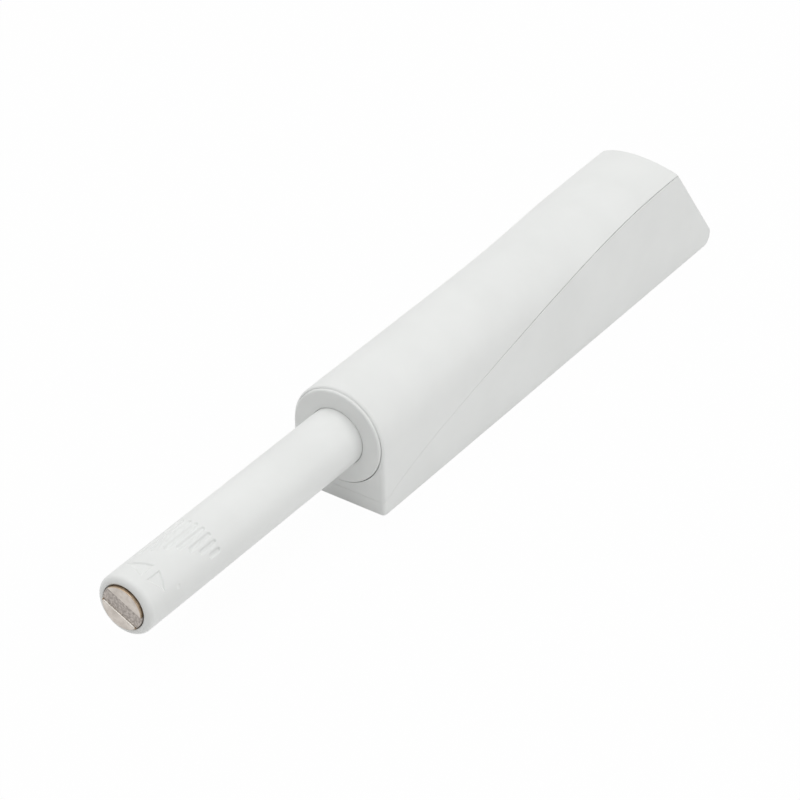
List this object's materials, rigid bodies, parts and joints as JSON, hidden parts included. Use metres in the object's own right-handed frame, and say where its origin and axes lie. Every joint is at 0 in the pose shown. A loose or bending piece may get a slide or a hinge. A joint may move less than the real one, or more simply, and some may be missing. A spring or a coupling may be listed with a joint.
{
  "type": "push to open catch",
  "caption": "Surface-mounted push latch with a spring plunger, an adjustable magnetic tip and an arched two-piece housing.",
  "frame": {"origin": "midway between the two fixing screws, on the mounting base's underside", "axes": "+Z out of the cabinet panel, +Y along the plunger's axis into the housing, so the magnetic tip points to -Y"},
  "size_m": [0.0142, 0.1232, 0.0165],
  "materials": {
    "housing_plastic": "fine satin moulded white",
    "tube_plastic": "satin moulded white",
    "plunger_plastic": "satin moulded white",
    "core_plastic": "natural grey acetal",
    "track_plastic": "natural grey acetal",
    "spring_steel": "drawn spring wire and strip",
    "bright_steel": "drawn bright steel",
    "nickel_steel": "punched, nickel-plated, lightly worn",
    "magnet_ferrite": "plated sintered magnet, fine grained",
    "pad_rubber": "black rubber"
  },
  "bodies": {
    "housing": {"housing_cover": "housing_plastic", "mounting_base": "housing_plastic", "latch_tube": "tube_plastic", "end_plug": "tube_plastic", "retaining_ring": "spring_steel", "spring_guide_pin": "bright_steel", "cam_track": "track_plastic", "main_spring": "spring_steel"},
    "plunger": {"plunger_core": "core_plastic", "follower_spring": "spring_steel"},
    "follower": {"track_follower": "spring_steel"},
    "detent": {"detent_ring": "core_plastic"},
    "sleeve": {"plunger_sleeve": "plunger_plastic", "magnet": "magnet_ferrite", "pole_plate_upper": "nickel_steel", "pole_plate_lower": "nickel_steel", "magnet_pad": "pad_rubber"}
  },
  "joints": [
    {"name": "plunger_slide", "type": "slide", "parent": "housing", "child": "plunger", "axis": [0, 1, 0], "range_m": [0, 0.0385], "stiffness_N_per_m": 110, "springref_m": -0.036, "deforming": ["main_spring"]},
    {"name": "follower_swing", "type": "hinge", "parent": "plunger", "child": "follower", "pos_m": [0, -0.0208, 0.00956], "axis": [0, 0, -1], "range_deg": [0, 15.5]},
    {"name": "adjuster_travel", "type": "slide", "parent": "plunger", "child": "detent", "axis": [0, -1, 0], "range_m": [-0.001, 0.003]},
    {"name": "adjuster_turn", "type": "hinge", "parent": "detent", "child": "sleeve", "pos_m": [0, 0, 0.00956], "axis": [0, -1, 0], "range_deg": [-120.5, 360.5]}
  ],
  "couplings": [
    {"joint": "adjuster_turn", "follows": "adjuster_travel", "rad_per_m": 2094.4}
  ]
}
